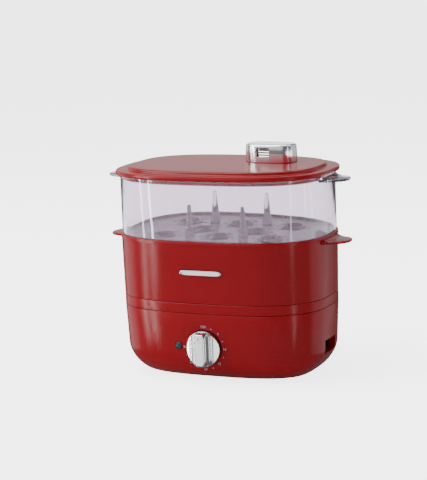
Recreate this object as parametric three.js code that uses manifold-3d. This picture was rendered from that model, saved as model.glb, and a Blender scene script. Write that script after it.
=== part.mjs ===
// Two-tier egg cooker: a base with a timer dial, a boiling pan, a red lower tier, a clear upper tier
// and a vented lid.
// Millimetres, +Z up. +X runs along the long side and the dial faces -Y. The origin is on the
// surface it stands on, under the middle of the whole outline, dial included.
import * as THREE from "three";
import { mergeVertices } from "three/addons/utils/BufferGeometryUtils.js";
import Module from "manifold-3d";

const wasm = await Module();
wasm.setup();

// The body's plan: a superellipse, which every shell follows at its own offset.
const BODY = { halfX: 108, halfY: 73, powerX: 2.83, powerY: 2.77 };
const SEGMENTS = 40;
const GAP = 0.3; // between neighbouring pieces
const WALL = 2.4; // moulded walls

const CENTRE_Y = 3.8; // the shells' centre, behind the origin because the dial stands out in front

// Heights of the stack
const Z_BASE = 2.5; // underside of the housing, on its feet
const Z_HOUSING = 69.5; // housing meets collar
const Z_COLLAR = 79.4; // collar meets lower tier
const Z_RIM = 140.4; // rim of the lower tier
const Z_LID = 200.9; // underside of the lid's flange
const Z_PLATEAU = 207.5; // raised top of the lid
const Z_VENT_TOP = 225.8; // top of the vent cover

// Offsets of the outer wall from the body's plan
const OUT_HOUSING = -1.4;
const OUT_CLEAR = -1.5;
const OUT_LID = 3.1;

// Dial, pilot lamp and mains inlet
const DIAL = { z: 35.4, radius: 17.7, wall: -70.3, depth: 13.4, barWidth: 12.4 };
const DISC_BACK = -72.6;
const SHAFT = { radius: 3, tip: -78, end: -58.6 };
const BRACKET = { front: -65.6, back: -64.8, halfX: 24, halfZ: 9, screwsX: [-21, 21] };
const LAMP = { x: -27.9, z: 36.3, radius: 3.7 };
const INLET = { halfY: 14, low: 22.5, high: 36.5, back: 96 };
const BLADES_Y = [-6, 0, 6];
const LEAD_RADIUS = 1.3;

// Egg seats and the posts between them, the same in both tiers
const SEATS = [
  [-57, -31], [0, -31], [57, -31], [-28.5, 0], [28.5, 0], [-57, 31], [0, 31], [57, 31],
];
const POSTS = [[-28.5, -31], [28.5, -31], [-28.5, 31], [28.5, 31]];
const SEAT_HOLE = 8;
const POST = { foot: 5, tip: 1.6, height: 29 };
const RED_FLOOR = 85.4;
const CLEAR_FLOOR = 138.8;

// Bottom of the base
const HEEL = -22; // the housing's bottom opening, as an offset
const COVER = { low: 2.9, high: 5.4, screwX: 45, screwY: 38 };
const FOOT = { x: 62, y: 26 };

const material = (color, roughness, metalness = 0) =>
  new THREE.MeshStandardMaterial({ color, roughness, metalness });
const red = material(0x8e1b1e, 0.3);
const clear = material(0xe4e3e8, 0.1);
const chrome = material(0xd6d7d8, 0.12, 1);
const steel = material(0xb8babc, 0.3, 1);
const aluminium = material(0xa9acae, 0.45, 1);
const brass = material(0xb9974f, 0.35, 1);
const black = material(0x18181a, 0.5);
const rubber = material(0x2a2a2c, 0.85);
const silicone = material(0xcfcac2, 0.7);
const lens = material(0x8f9294, 0.15);

const model = new THREE.Group();
model.position.y = CENTRE_Y;

// ---- shape helpers ----

// A point of the plan at this angle, moved out along the normal by offset.
function planPoint(plan, angle, offset) {
  const along = (half, power, t) => half * Math.sign(t) * Math.abs(t) ** (2 / power);
  const slope = (half, power, v) => (Math.sign(v) / half) * Math.abs(v / half) ** (power - 1);
  const x = along(plan.halfX, plan.powerX, Math.cos(angle));
  const y = along(plan.halfY, plan.powerY, Math.sin(angle));
  const nx = slope(plan.halfX, plan.powerX, x);
  const ny = slope(plan.halfY, plan.powerY, y);
  const length = Math.hypot(nx, ny);
  return [x + (offset * nx) / length, y + (offset * ny) / length];
}

// Turns a profile of [offset, z] pairs, bottom to top, round the plan and caps it flat at both ends.
function loft(profile, plan = BODY) {
  const reach = 100;
  const ends = [profile[0], profile.at(-1)].map(([, z]) => new THREE.Vector2(0, z));
  const rings = profile.map(([offset, z]) => new THREE.Vector2(reach + offset, z));
  const geometry = new THREE.LatheGeometry([ends[0], ...rings, ends[1]], SEGMENTS);
  const position = geometry.attributes.position;
  for (let i = 0; i < position.count; i++) {
    const [across, z, deep] = [position.getX(i), position.getY(i), position.getZ(i)];
    const radius = Math.hypot(across, deep);
    const angle = Math.atan2(-deep, across);
    const [x, y] = radius < 1 ? [0, 0] : planPoint(plan, angle, radius - reach);
    position.setXYZ(i, x, y, z);
  }
  return geometry;
}

// A curve of [offset, z] pairs from a cubic with these four control points.
function curve(points, steps) {
  const corners = points.map(([x, z]) => new THREE.Vector2(x, z));
  return new THREE.CubicBezierCurve(...corners).getPoints(steps).map((p) => [p.x, p.y]);
}

// A closed geometry as a solid that can be cut and joined.
function solid(geometry) {
  const bare = new THREE.BufferGeometry();
  bare.setAttribute("position", geometry.attributes.position.clone());
  bare.setIndex(geometry.index);
  const merged = mergeVertices(bare, 1e-4);
  return new wasm.Manifold(new wasm.Mesh({
    numProp: 3,
    vertProperties: merged.attributes.position.array,
    triVerts: new Uint32Array(merged.index.array),
  }));
}

function geometryOf(cut) {
  const made = cut.getMesh();
  const geometry = new THREE.BufferGeometry();
  geometry.setAttribute("position", new THREE.BufferAttribute(made.vertProperties, 3));
  geometry.setIndex(new THREE.BufferAttribute(made.triVerts, 1));
  return geometry;
}

const joined = (first, ...others) => others.reduce((all, next) => all.add(next), first);
const without = (first, ...others) => others.reduce((all, next) => all.subtract(next), first);

function box(lowX, highX, lowY, highY, lowZ, highZ) {
  const geometry = new THREE.BoxGeometry(highX - lowX, highY - lowY, highZ - lowZ);
  return geometry.translate((lowX + highX) / 2, (lowY + highY) / 2, (lowZ + highZ) / 2);
}

// A round bar or cone standing up from (x, y, low) to high.
function post(x, y, low, high, radius, tip = radius, sides = 16) {
  const geometry = new THREE.CylinderGeometry(tip, radius, high - low, sides);
  return geometry.rotateX(Math.PI / 2).translate(x, y, (low + high) / 2);
}

// A round bar lying along Y from front to back.
function spindle(x, z, front, back, radius, sides = 20) {
  const geometry = new THREE.CylinderGeometry(radius, radius, back - front, sides);
  return geometry.translate(x, (front + back) / 2, z);
}

// A turned piece standing at (x, y, z): its profile is [radius, height] pairs, axis to axis.
function turned(profile, x, y, z, sides = 12) {
  const points = profile.map(([radius, height]) => new THREE.Vector2(radius, height));
  const geometry = new THREE.LatheGeometry(points, sides);
  return geometry.rotateX(Math.PI / 2).translate(x, y, z);
}

// A round wire or tube along a smooth path of [x, y, z] points.
function wire(points, radius, steps, sides = 8) {
  const section = new THREE.Shape();
  section.absarc(0, 0, radius, 0, 2 * Math.PI);
  const path = new THREE.CatmullRomCurve3(points.map((p) => new THREE.Vector3(...p)));
  const options = { steps, curveSegments: sides / 2, extrudePath: path, bevelEnabled: false };
  return new THREE.ExtrudeGeometry(section, options);
}

function add(name, shape, finish) {
  const geometry = shape.getMesh ? geometryOf(shape) : shape;
  const piece = new THREE.Mesh(geometry, finish);
  piece.name = name;
  model.add(piece);
}

// ---- base: housing, bottom cover, feet and screws ----

const outerWall = [
  ...curve([[HEEL, Z_BASE], [-16, 5], [-5, 15], [-3.4, 28]], 6),
  [OUT_HOUSING, Z_HOUSING],
];
const innerWall = [
  ...curve([[HEEL, Z_BASE + WALL], [-17.5, 7], [-7.6, 16], [-3.4 - WALL, 28]], 4),
  [OUT_HOUSING - WALL, Z_HOUSING + 1],
];
const pocket = (grow, inner) => {
  const { halfY, low, high } = INLET;
  return solid(box(inner, 120, -halfY - grow, halfY + grow, low - grow, high + grow));
};
const outside = solid(loft(outerWall));
const cavity = without(solid(loft(innerWall)), pocket(2, INLET.back - 2));
const coverScrews = [-1, 1].flatMap((side) =>
  [-COVER.screwY, COVER.screwY].map((y) => [side * COVER.screwX, y]));
const screwPosts = coverScrews.map(([x, y]) => {
  const wall = Math.sign(y) * 66;
  const shaft = solid(post(x, y, COVER.high + GAP, 26, 4.2));
  const rib = solid(box(x - 1, x + 1, Math.min(y, wall), Math.max(y, wall), 8, 24)).intersect(outside);
  return joined(shaft, rib).subtract(solid(post(x, y, 0, 20, 1.7, 1.7, 12)));
});
const bracketBosses = BRACKET.screwsX.map((x) => {
  const boss = solid(spindle(x, DIAL.z, DIAL.wall + 1.3, BRACKET.front - GAP, 3.2, 14));
  return boss.subtract(solid(spindle(x, DIAL.z, DIAL.wall + 1.7, -60, 1.6, 12)));
});
const housing = without(
  joined(outside.subtract(cavity), ...screwPosts, ...bracketBosses),
  solid(loft([[HEEL, 0], [HEEL, Z_BASE + WALL + 0.2]])),
  pocket(0, INLET.back),
  solid(box(INLET.back - 5, 120, -11.8, 11.8, INLET.low + 1.2, INLET.high - 1.2)),
  solid(spindle(0, DIAL.z, -90, DIAL.wall + 0.9, DIAL.radius + 0.6, 32)),
  solid(spindle(0, DIAL.z, -90, -60, 4.5)),
  solid(spindle(LAMP.x, LAMP.z, -90, -60, LAMP.radius + 0.4)),
);
add("main_housing", housing, red);

const feet = [
  ["front_left", -FOOT.x, -FOOT.y], ["front_right", FOOT.x, -FOOT.y],
  ["back_left", -FOOT.x, FOOT.y], ["back_right", FOOT.x, FOOT.y],
];
const footHoles = feet.map(([, x, y]) => solid(post(x, y, 0, 10, 3)));
const coverHoles = coverScrews.map(([x, y]) => solid(post(x, y, 0, 10, 1.9, 1.9, 12)));
const coverPlate = solid(loft([[HEEL - GAP, COVER.low], [HEEL - GAP, COVER.high]]));
add("bottom_cover", without(coverPlate, ...footHoles, ...coverHoles), black);

const footProfile = [
  [0, 0], [6.4, 0], [7, 0.7], [7, 2.5], [2.6, 2.5], [2.6, 5.7], [3.8, 5.9], [2, 8.4], [0, 8.4],
];
for (const [place, x, y] of feet) add(`foot_${place}`, turned(footProfile, x, y, 0), rubber);

// A pan-head screw with its head at the bottom and its point up.
const screwProfile = (shank) => [
  [0, -2], [3.2, -2], [3.4, -1.2], [3.4, -GAP], [1.45, -GAP], [1.45, shank - 1.5], [0.3, shank], [0, shank],
];
coverScrews.forEach(([x, y], i) => {
  add(`cover_screw_${i + 1}`, turned(screwProfile(13), x, y, COVER.low, 8), steel);
});

// ---- collar, boiling pan and heater ----

const DECK = { low: 74.2, high: 76.4, inner: -13 };
const SPIGOT = OUT_HOUSING - WALL - GAP; // fits inside the wall below
const collar = without(
  solid(loft([
    [SPIGOT, Z_HOUSING - 4], [SPIGOT, Z_HOUSING + GAP],
    [OUT_HOUSING, Z_HOUSING + GAP], [OUT_HOUSING, Z_COLLAR],
  ])),
  solid(loft([[-6.5, 60], [-6.5, DECK.low]])),
  solid(loft([[DECK.inner, 60], [DECK.inner, 90]])),
  solid(loft([[OUT_HOUSING - WALL, DECK.high], [OUT_HOUSING - WALL, 90]])),
);
add("collar_ring", collar, red);

const gasketOuter = solid(loft([[-9, DECK.high + GAP], [-9, DECK.high + 1]]));
const gasketInner = solid(loft([[-12.6, DECK.high - 1], [-12.6, DECK.high + 2]]));
add("pan_gasket", gasketOuter.subtract(gasketInner), silicone);

const PAN = { brim: 78.5, floor: 59.6, sheet: 1 };
const panOuter = [
  [-25, PAN.floor], [-19.5, PAN.floor + 1.6], [-14, 68], [-13.4, PAN.brim - 0.8],
  [-8.5, PAN.brim - 0.8], [-8.5, PAN.brim],
];
const panInner = [[-25.4, PAN.floor + PAN.sheet], [-20.4, 62.2], [-15, 68], [-14.4, 90]];
add("boiling_pan", without(solid(loft(panOuter)), solid(loft(panInner))), steel);

add("heater_plate", loft([[-31, 55.8], [-30, 55], [-30, 59.3]]), aluminium);

// The tube heater goes once round under the plate, and its two ends turn down at the back.
const HEATER = { radius: 3, z: 51.4, offset: -38 };
const heaterPath = [];
for (let step = 0; step <= 24; step++) {
  const angle = Math.PI / 2 + 0.35 + (step / 24) * (2 * Math.PI - 0.7);
  heaterPath.push([...planPoint(BODY, angle, HEATER.offset), HEATER.z]);
}
const [firstX, firstY] = heaterPath[0];
const [lastX, lastY] = heaterPath.at(-1);
heaterPath.unshift([firstX + 8, firstY, 42], [firstX + 5, firstY, 47.5]);
heaterPath.push([lastX - 5, lastY, 47.5], [lastX - 8, lastY, 42]);
add("heater_element", wire(heaterPath, HEATER.radius, 44), steel);

// Under the plate: the thermostat with its strap, and the thermal fuse in its sleeve.
const thermostatTop = 54.6;
const thermostatStrap = box(-14, 14, -9, -3, 51, thermostatTop);
const thermostatCan = post(0, -6, 46, thermostatTop, 9, 9, 28);
add("thermostat", joined(solid(thermostatCan), solid(thermostatStrap)), black);
const fusePath = [[-24, 10, 52.5], [-12, 10, 52.6], [0, 10, 52.6], [12, 10, 52.5]];
add("thermal_fuse", wire(fusePath, 2, 12), silicone);

// ---- timer, dial and pilot lamp ----

const NOSE = { radius: 8, front: -64.5 }; // round nose on the timer's front, through the bracket
const timerBack = DIAL.wall + 31;
const timerCase = joined(
  solid(box(-19, 19, -62, timerBack, DIAL.z - 16, DIAL.z + 16)),
  solid(spindle(0, DIAL.z, NOSE.front, -61, NOSE.radius)),
);
const shaftHole = solid(spindle(0, DIAL.z, -70, SHAFT.end + 0.6, SHAFT.radius + 0.4));
add("timer_body", timerCase.subtract(shaftHole), black);

const { halfX, halfZ } = BRACKET;
const bracketPlate = box(-halfX, halfX, BRACKET.front, BRACKET.back, DIAL.z - halfZ, DIAL.z + halfZ);
const bracketHoles = BRACKET.screwsX.map((x) => solid(spindle(x, DIAL.z, -70, -60, 1.8, 12)));
const noseHole = solid(spindle(0, DIAL.z, -70, -60, NOSE.radius + 0.4));
add("timer_bracket", without(solid(bracketPlate), noseHole, ...bracketHoles), steel);
BRACKET.screwsX.forEach((x, i) => {
  const screw = turned(screwProfile(2.2), 0, 0, 0, 8).rotateX(Math.PI / 2);
  add(`timer_screw_${i + 1}`, screw.translate(x, BRACKET.back, DIAL.z), steel);
});

add("timer_shaft", spindle(0, DIAL.z, SHAFT.tip, SHAFT.end, SHAFT.radius), steel);

const bezel = solid(spindle(0, DIAL.z, DISC_BACK + 0.4, DIAL.wall + 0.5, DIAL.radius - 0.1, 32));
add("dial_bezel", bezel.subtract(solid(spindle(0, DIAL.z, -75, -60, 8))), black);

// The dial: a shallow dished disc with a tall grip bar across it, bored for the shaft.
const BAR_FRONT = DIAL.wall - DIAL.depth;
const discProfile = [
  [0, 0], [DIAL.radius - 0.8, 0], [DIAL.radius, 0.4], [DIAL.radius, 1.0],
  [DIAL.radius - 5, 3.4], [DIAL.barWidth / 2, 1.6], [0, 1.6],
];
const disc = new THREE.LatheGeometry(discProfile.map(([r, h]) => new THREE.Vector2(r, h)), 32);
disc.rotateX(Math.PI).translate(0, DISC_BACK, DIAL.z);
const barShape = new THREE.Shape();
const barHalf = DIAL.radius - 1.3;
const barEnd = Math.asin(DIAL.barWidth / 2 / barHalf);
barShape.absarc(0, 0, barHalf, Math.PI / 2 - barEnd, Math.PI / 2 + barEnd);
barShape.absarc(0, 0, barHalf, -Math.PI / 2 - barEnd, -Math.PI / 2 + barEnd);
const bevel = { bevelThickness: 1.4, bevelSize: 1.2, bevelOffset: -1.2, bevelSegments: 2 };
const bar = new THREE.ExtrudeGeometry(barShape, { depth: 12, curveSegments: 6, ...bevel });
bar.rotateX(Math.PI / 2).translate(0, BAR_FRONT + bevel.bevelThickness + 12, DIAL.z);
const barFront = solid(bar).subtract(solid(box(-40, 40, DISC_BACK, -40, 0, 80)));
const pointerGroove = box(-1.2, 1.2, BAR_FRONT - 1, BAR_FRONT + 1, DIAL.z + 6, DIAL.z + 12.5);
const dialBore = spindle(0, DIAL.z, SHAFT.tip - 0.4, -60, SHAFT.radius + GAP);
const dial = without(joined(solid(disc), barFront), solid(pointerGroove), solid(dialBore));
add("dial_knob", dial, chrome);

add("pilot_lens", spindle(LAMP.x, LAMP.z, DIAL.wall - 0.4, -66.8, LAMP.radius, 24), lens);
add("lamp_body", spindle(LAMP.x, LAMP.z, -66.4, -52, LAMP.radius - 0.4, 20), silicone);

// ---- mains inlet in the right-hand end ----

const socketOuter = joined(
  solid(box(INLET.back + GAP, INLET.back + 1.5, -13.6, 13.6, 22.9, 36.1)),
  solid(box(78, INLET.back + 1, -11.4, 11.4, 24.1, 34.9)),
);
const socketHollow = solid(box(80, 110, -9.8, 9.8, 25.4, 33.6));
const slots = BLADES_Y.map((y) => solid(box(70, 90, y - 1.3, y + 1.3, 27.2, 31.8)));
add("inlet_socket", without(socketOuter, socketHollow, ...slots), black);
BLADES_Y.forEach((y, i) => {
  add(`inlet_pin_${i + 1}`, box(72, 93, y - 1, y + 1, 27.5, 31.5), brass);
});

// Insulated leads inside the base
const leads = {
  lead_inlet_timer: [[71.4, -6, 29.5], [60, -12, 24], [46, -26, 22], [34, -40, 26], [20, -40, 30]],
  lead_timer_heater: [[-20, -44, 34], [-30, -36, 38], [-44, -4, 40], [-40, 26, 38], [-12, 32, 36]],
  lead_inlet_heater: [[71.4, 6, 29.5], [60, 12, 26], [44, 24, 28], [26, 31, 34], [14, 33, 36]],
};
for (const [name, path] of Object.entries(leads)) add(name, wire(path, LEAD_RADIUS, 14, 6), black);

// ---- plain badge on the lower tier ----

const badgeShape = new THREE.Shape();
badgeShape.absarc(-19, 0, 2.6, Math.PI / 2, (3 * Math.PI) / 2);
badgeShape.absarc(19, 0, 2.6, -Math.PI / 2, Math.PI / 2);
const badge = new THREE.ExtrudeGeometry(badgeShape, { depth: 1, curveSegments: 8, bevelEnabled: false });
badge.rotateX(Math.PI / 2).translate(0, -BODY.halfY - 0.1, 110.2);
add("front_badge", badge, chrome);

// ---- the two tiers ----

// The two lifting tabs of a tier: plan shape at each end, and a thicker root under the rim.
function tabs(low, thick, rootHigh) {
  const outline = new THREE.Shape();
  outline.moveTo(100, -23);
  outline.lineTo(108.4, -23);
  outline.quadraticCurveTo(109.4, -20, 113, -18.6);
  outline.lineTo(119, -16);
  outline.bezierCurveTo(125.5, -12.5, 128.4, -8, 128.4, 0);
  outline.bezierCurveTo(128.4, 8, 125.5, 12.5, 119, 16);
  outline.lineTo(113, 18.6);
  outline.quadraticCurveTo(109.4, 20, 108.4, 23);
  outline.lineTo(100, 23);
  const plate = new THREE.ExtrudeGeometry(outline, { depth: thick, curveSegments: 6, bevelEnabled: false });
  const side = new THREE.Shape();
  side.moveTo(100, low + 0.5);
  side.lineTo(113, low + 0.5);
  side.lineTo(113, low + thick - 0.1);
  side.quadraticCurveTo(108.6, low + thick, 108, rootHigh);
  side.lineTo(100, rootHigh);
  const root = new THREE.ExtrudeGeometry(side, { depth: 40, curveSegments: 5, bevelEnabled: false });
  root.rotateX(Math.PI / 2).translate(0, 20, 0);
  const right = solid(plate.translate(0, 0, low)).add(solid(root));
  return [right, right.rotate([0, 0, 180])];
}

// A tier: the outer shell with its tabs, hollowed, then the floor's posts, the recess under the
// floor and a round hole at each egg seat.
function tier(outer, inner, under, floor, lifters) {
  const shell = joined(solid(loft(outer)), ...lifters).subtract(solid(loft(inner)));
  const posts = POSTS.map(([x, y]) =>
    solid(post(x, y, floor - 1, floor + POST.height, POST.foot, POST.tip, 8)));
  const holes = SEATS.map(([x, y]) => solid(post(x, y, floor - 9, floor + 2, SEAT_HOLE, SEAT_HOLE, 12)));
  return without(joined(shell, ...posts), solid(loft(under)), ...holes);
}

const lowerOuter = [
  [-5, Z_COLLAR - 2.2], [SPIGOT, Z_COLLAR - 1.8], [SPIGOT, Z_COLLAR + GAP],
  [OUT_HOUSING, Z_COLLAR + GAP], [0, Z_RIM - 4.4], [0, Z_RIM],
];
const lowerInner = [
  [OUT_HOUSING - WALL - 1, RED_FLOOR], [OUT_HOUSING - WALL, RED_FLOOR + 1.2], [-WALL, Z_RIM + 1],
];
const lowerUnder = [[-7, Z_COLLAR - 4], [-7, RED_FLOOR - WALL]];
const lowerTabs = tabs(132.9, 2.5, 137.4);
add("lower_tier", tier(lowerOuter, lowerInner, lowerUnder, RED_FLOOR, lowerTabs), red);

const LIP = { low: Z_LID - 4.6, out: 0.9 };
const upperOuter = [
  [-WALL - GAP, Z_RIM - 7], [-WALL - GAP, Z_RIM + GAP], [OUT_CLEAR, Z_RIM + GAP], [OUT_CLEAR, LIP.low],
  [OUT_CLEAR + LIP.out, LIP.low + 1], [OUT_CLEAR + LIP.out, Z_LID - GAP],
];
const upperInner = [
  [OUT_CLEAR - WALL - 2, CLEAR_FLOOR], [OUT_CLEAR - WALL, CLEAR_FLOOR + 1.6],
  [OUT_CLEAR - WALL, Z_LID + 1],
];
const upperUnder = [[-5.2, Z_RIM - 9], [-5.2, CLEAR_FLOOR - WALL]];
const upperTabs = tabs(193.4, 2.5, 198);
add("steam_basket", tier(upperOuter, upperInner, upperUnder, CLEAR_FLOOR, upperTabs), clear);

// ---- lid, vent cover and grille ----

const SKIRT = { outer: OUT_CLEAR - WALL - 0.4, inner: OUT_CLEAR - WALL - 2.2, low: Z_LID - 6 };
const FLANGE_TOP = Z_LID + 3.3;
const lidOuter = [
  [SKIRT.outer, SKIRT.low], [SKIRT.outer, Z_LID], [OUT_LID - 1.2, Z_LID], [OUT_LID, Z_LID + 0.9],
  [OUT_LID, Z_LID + 2.2], [OUT_LID - 1.2, FLANGE_TOP], [-8.2, FLANGE_TOP], [-9, FLANGE_TOP + 0.6],
  [-9.4, Z_PLATEAU - 1], [-10.6, Z_PLATEAU],
];
const lidHollow = [
  [SKIRT.inner, SKIRT.low - 1], [SKIRT.inner, Z_LID + 1.2], [-11.6, Z_LID + 1.2],
  [-12.4, Z_PLATEAU - 2.2],
];

const VENT = { x: 40, y: 19.5, turn: -0.1, screwX: 15 };
const VENT_PLAN = { halfX: 26.4, halfY: 14.5, powerX: 3, powerY: 3 };
const onVent = (geometry) => geometry.rotateZ(VENT.turn).translate(VENT.x, VENT.y, 0);
const steamHole = solid(onVent(post(0, 0, Z_LID, Z_VENT_TOP, 4)));
const screwHoles = [-1, 1].map((side) =>
  solid(onVent(post(side * VENT.screwX, 0, Z_LID, Z_PLATEAU + 2, 1.9, 1.9, 12))));
const lid = without(solid(loft(lidOuter)), solid(loft(lidHollow)), steamHole, ...screwHoles);
add("lid_shell", lid, red);

const ventBase = Z_PLATEAU + GAP;
const ventOuter = [
  [0, ventBase], [0, Z_VENT_TOP - 3], [-0.5, Z_VENT_TOP - 1.4], [-1.5, Z_VENT_TOP - 0.4], [-3.2, Z_VENT_TOP],
];
const ventInner = [[-1.8, ventBase - 1], [-1.8, Z_VENT_TOP - 3.4], [-3.4, Z_VENT_TOP - 1.8]];
const WINDOW = { left: -9.2, right: 4.6, low: 213.2, high: 222.2 };
const windowCut = onVent(box(WINDOW.left, WINDOW.right, -20, -5, WINDOW.low, WINDOW.high));
const bosses = [-1, 1].map((side) => {
  const boss = solid(post(side * VENT.screwX, 0, ventBase, Z_VENT_TOP - 1.5, 4, 4, 16));
  return boss.subtract(solid(post(side * VENT.screwX, 0, 200, 219, 1.7, 1.7, 12)));
});
const ventWalls = solid(loft(ventOuter, VENT_PLAN)).subtract(solid(loft(ventInner, VENT_PLAN)));
const ventShell = solid(onVent(geometryOf(joined(ventWalls, ...bosses))));
add("vent_cover", ventShell.subtract(solid(windowCut)), chrome);

// The grille closes the window from inside: a frame with louvre slots between four bars.
const { left, right, low, high } = WINDOW;
const grillePlate = solid(box(left - 1, right + 1, -11.4, -10.1, low - 1, high + 1));
const louvres = [0, 1, 2].map((i) => {
  const z = low + 1.3 + i * 2.4;
  return solid(box(left + 0.4, right - 0.4, -15, -8, z, z + 1.1));
});
add("vent_grille", onVent(geometryOf(without(grillePlate, ...louvres))), chrome);

[-1, 1].forEach((side, i) => {
  const screw = turned(screwProfile(12), 0, 0, Z_PLATEAU - 2.2, 8).translate(side * VENT.screwX, 0, 0);
  add(`vent_screw_${i + 1}`, onVent(screw), steel);
});

export default model;
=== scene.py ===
"""Two-tier egg cooker: the finished look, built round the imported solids, in metres, Z up."""
import math

import bmesh
import bpy
from mathutils import Matrix, Vector
from mathutils.geometry import interpolate_bezier


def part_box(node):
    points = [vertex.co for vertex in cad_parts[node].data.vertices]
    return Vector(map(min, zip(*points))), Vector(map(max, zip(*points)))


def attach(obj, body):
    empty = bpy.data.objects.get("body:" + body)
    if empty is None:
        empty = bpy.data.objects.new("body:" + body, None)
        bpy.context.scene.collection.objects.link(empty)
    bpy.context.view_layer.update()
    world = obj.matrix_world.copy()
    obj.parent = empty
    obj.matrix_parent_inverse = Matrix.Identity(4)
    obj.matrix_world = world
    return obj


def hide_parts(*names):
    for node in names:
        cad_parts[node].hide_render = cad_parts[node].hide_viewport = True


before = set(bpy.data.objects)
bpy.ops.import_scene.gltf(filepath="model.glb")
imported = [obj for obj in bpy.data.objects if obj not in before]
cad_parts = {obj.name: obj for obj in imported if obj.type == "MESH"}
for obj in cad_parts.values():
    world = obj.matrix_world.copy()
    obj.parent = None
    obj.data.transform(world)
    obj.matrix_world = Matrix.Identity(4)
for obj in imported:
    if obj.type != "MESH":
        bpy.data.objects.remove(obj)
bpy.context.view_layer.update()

# ---------------------------------------------------------------- studio
# A pale seamless floor in a dim room, three tall strip softboxes at the front corners, and wide
# white panels beside, behind and above. The lens is long, so the tiers' walls stay nearly
# parallel.
MM = 0.001


def linear(code):
    """An sRGB hex colour as linear RGBA."""
    parts = [int(code[i:i + 2], 16) / 255 for i in (1, 3, 5)]
    return [c / 12.92 if c <= 0.04045 else ((c + 0.055) / 1.055) ** 2.4 for c in parts] + [1.0]


def add_node(tree, kind, inputs=(), **settings):
    """Adds a node with its settings; an input is a value, or another node's output to link."""
    made = tree.nodes.new(kind)
    for name, value in settings.items():
        setattr(made, name, value)
    for socket, value in dict(inputs).items():
        if isinstance(value, bpy.types.NodeSocket):
            tree.links.new(value, made.inputs[socket])
        else:
            made.inputs[socket].default_value = value
    return made


def new_material(name):
    """An empty node material: its tree, and its object coordinates for patterns."""
    material = bpy.data.materials.new(name)
    material.use_nodes = True
    material.node_tree.nodes.clear()
    place = add_node(material.node_tree, "ShaderNodeTexCoord").outputs["Object"]
    return material, material.node_tree, place


def show(tree, shader):
    """Links the finished shader to the surface."""
    add_node(tree, "ShaderNodeOutputMaterial", {"Surface": shader.outputs[0]})


def put(name, mesh, body=None, materials=()):
    """A new object in the scene, riding on a body unless it is for the studio."""
    piece = bpy.data.objects.new(name, mesh)
    bpy.context.scene.collection.objects.link(piece)
    for material in materials:
        mesh.materials.append(material)
    if body:
        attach(piece, body)
    return piece


# Painted studio floor: matt, very faint mottling.
floor_paint, tree, place = new_material("matt floor paint")
mottle = add_node(tree, "ShaderNodeTexNoise", {"Vector": place, "Scale": 6.0, "Detail": 4.0})
tint = add_node(tree, "ShaderNodeMix", {0: mottle.outputs["Fac"], 6: linear("#F4F3F2"),
                                        7: linear("#FAFAF9")}, data_type="RGBA")
# The paint glows a little for whatever looks straight at it, so that the sweep reads as white.
FLOOR_GLOW, GLOW_THROUGH_PLASTIC = 3.6, 0.6
rays = add_node(tree, "ShaderNodeLightPath")
through = add_node(tree, "ShaderNodeMath", {
    0: rays.outputs["Is Transmission Ray"], 1: GLOW_THROUGH_PLASTIC}, operation="MULTIPLY")
direct = add_node(tree, "ShaderNodeMath", {0: rays.outputs["Is Camera Ray"],
                                           1: through.outputs[0]}, operation="MAXIMUM")
glow = add_node(tree, "ShaderNodeMath", {0: direct.outputs[0], 1: FLOOR_GLOW},
                operation="MULTIPLY")
show(tree, add_node(tree, "ShaderNodeBsdfPrincipled", {
    "Base Color": tint.outputs[2], "Roughness": 0.9, "Specular IOR Level": 0.1,
    "Emission Color": linear("#FFFFFF"), "Emission Strength": glow.outputs[0]}))
floor_mesh = bpy.data.meshes.new("floor")
FLOOR = 30.0
floor_mesh.from_pydata([(-FLOOR, -FLOOR, 0), (FLOOR, -FLOOR, 0), (FLOOR, FLOOR, 0),
                        (-FLOOR, FLOOR, 0)], [], [(0, 1, 2, 3)])
floor = put("floor", floor_mesh, materials=[floor_paint])
floor.visible_glossy = False

housing_low, housing_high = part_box("main_housing")
CENTRE = Vector((0, (housing_low.y + housing_high.y) / 2, 0))
AIM_HEIGHT = 129.9
AIM = CENTRE + Vector((0, 0, AIM_HEIGHT * MM))


def direction(azimuth, elevation):
    """The way towards a point at this azimuth, 0 in front and 90 at +X, and height."""
    a, e = math.radians(azimuth), math.radians(elevation)
    return Vector((math.sin(a) * math.cos(e), -math.cos(a) * math.cos(e), math.sin(e)))


def softbox(name, azimuth, elevation, distance, width, height, power):
    """A rectangular light, in metres and watts, that faces the cooker."""
    light = bpy.data.lights.new(name, "AREA")
    light.shape, light.size, light.size_y = "RECTANGLE", width, height
    light.energy = power
    lamp = bpy.data.objects.new(name, light)
    bpy.context.scene.collection.objects.link(lamp)
    away = direction(azimuth, elevation)
    lamp.location = AIM + away * distance
    lamp.rotation_mode = "QUATERNION"
    lamp.rotation_quaternion = away.to_track_quat("Z", "Y")
    lamp.visible_camera = False
    return lamp


softbox("strip_left_outer", -61, 2, 0.95, 0.05, 0.88, 2.1)
softbox("strip_left_inner", -50, 2, 0.95, 0.035, 0.88, 2.4)
softbox("strip_right", 58, 2, 0.95, 0.05, 0.88, 0.85)
softbox("panel_right", 130, 0, 1.5, 1.5, 1.6, 4.2)
softbox("panel_back", 204, 14, 14.0, 16.0, 8.5, 250)
softbox("panel_left", -100, 4, 1.3, 0.9, 1.5, 3.6)
softbox("panel_front", -24, 17, 1.6, 2.2, 0.8, 4.4)
softbox("overhead_left", -62, 52, 1.7, 1.4, 1.4, 29)
softbox("overhead", 0, 86, 1.7, 1.2, 1.2, 14)
softbox("overhead_right", 115, 52, 1.7, 1.0, 1.0, 6)
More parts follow.
